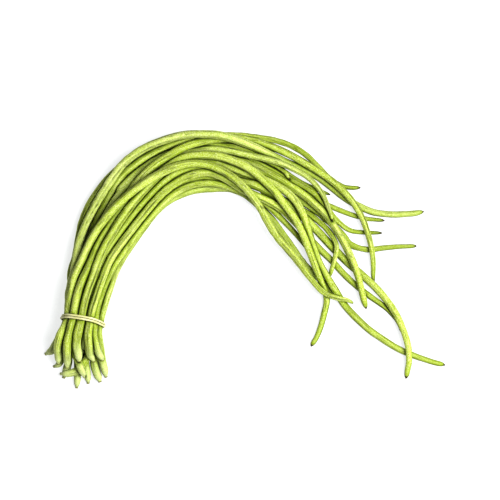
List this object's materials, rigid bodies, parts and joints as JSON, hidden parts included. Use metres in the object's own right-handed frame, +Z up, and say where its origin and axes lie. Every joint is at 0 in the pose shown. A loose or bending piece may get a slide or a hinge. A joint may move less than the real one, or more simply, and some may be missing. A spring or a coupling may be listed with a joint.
{
  "type": "tied bunch of long green beans",
  "caption": "Bunch of long green bean pods, tied near the stem ends with a rubber band and laid on a table in a bend, with the tips spread out.",
  "frame": {"origin": "on the table, under the middle of the bunch's outline", "axes": "+X along the bunch, from the tied stem ends towards the free tips; +Y from the stem ends towards the top of the bend; +Z up from the table"},
  "size_m": [0.3606, 0.2352, 0.0365],
  "materials": {
    "pod_skin": "satin, stands in for fresh pod skin",
    "band_rubber": "matt pale cream"
  },
  "bodies": {
    "root": {"pod_01": "pod_skin", "pod_02": "pod_skin", "pod_03": "pod_skin", "pod_04": "pod_skin", "pod_05": "pod_skin", "pod_06": "pod_skin", "pod_07": "pod_skin", "pod_08": "pod_skin", "pod_09": "pod_skin", "pod_10": "pod_skin", "pod_11": "pod_skin", "pod_12": "pod_skin", "pod_13": "pod_skin", "pod_14": "pod_skin", "pod_15": "pod_skin", "pod_16": "pod_skin", "pod_17": "pod_skin", "pod_18": "pod_skin", "pod_19": "pod_skin", "rubber_band": "band_rubber"}
  },
  "joints": []
}
